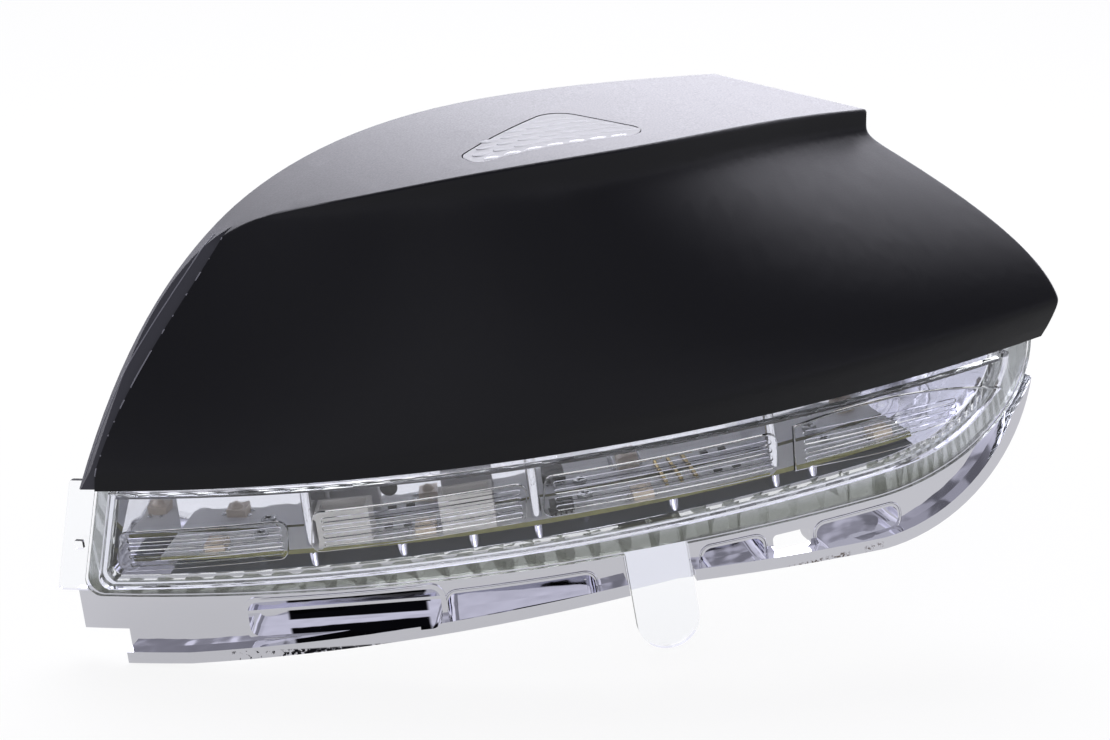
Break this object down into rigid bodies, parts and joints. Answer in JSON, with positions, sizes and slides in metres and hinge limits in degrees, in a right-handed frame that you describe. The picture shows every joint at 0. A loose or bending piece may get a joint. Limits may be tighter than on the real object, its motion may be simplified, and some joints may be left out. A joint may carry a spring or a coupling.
{
  "type": "vehicle indicator lamp",
  "caption": "Door mirror indicator lamp: a curved clear lens strip and metallised housing under a black moulded cover with a puddle light.",
  "frame": {"origin": "Midway between the two mounting screw holes, on the front faces of the two screw ears", "axes": "+X along the lamp towards the car body, +Y back towards the mirror glass and along the mounting screws, +Z out of the panel that faces the road, as in the picture, which shows the part upside down"},
  "size_m": [0.2144, 0.1186, 0.1295],
  "materials": {
    "grained_plastic": "fine grained black moulding",
    "clear_lens": "clear polished acrylic",
    "weld_bead": "greenish grey bead",
    "metallised_plastic": "bright vacuum metallised plastic",
    "circuit_board": "olive laminate edge",
    "light_source": "warm white encapsulant",
    "white_plastic": "white moulding",
    "chip_black": "black package",
    "screw_steel": "zinc plated",
    "plain_black_plastic": "plain black moulding",
    "pin_metal": "plated terminals",
    "breather_cloth": "black vent cap",
    "puddle_clear": "clear acrylic with a pebbled underside",
    "seal_rubber": "soft black seal"
  },
  "bodies": {
    "root": {"cover_shell": "grained_plastic", "indicator_lens": "clear_lens", "lens_weld_bead": "weld_bead", "reflector_housing": "metallised_plastic", "circuit_board": "circuit_board", "signal_led_1": "light_source", "signal_led_2": "light_source", "signal_led_3": "light_source", "side_led": "light_source", "side_connector": "white_plastic", "board_connector": "white_plastic", "driver_chip": "chip_black", "driver_resistors": "chip_black", "board_screws": "screw_steel", "lamp_screws": "screw_steel", "harness_socket": "plain_black_plastic", "terminal_pins": "pin_metal", "breather_plug": "breather_cloth", "puddle_lens": "puddle_clear", "puddle_gasket": "seal_rubber", "puddle_housing": "plain_black_plastic", "puddle_reflector": "metallised_plastic", "puddle_board": "circuit_board", "puddle_led": "light_source", "puddle_screws": "screw_steel", "puddle_socket": "plain_black_plastic", "puddle_pins": "pin_metal"}
  },
  "joints": []
}
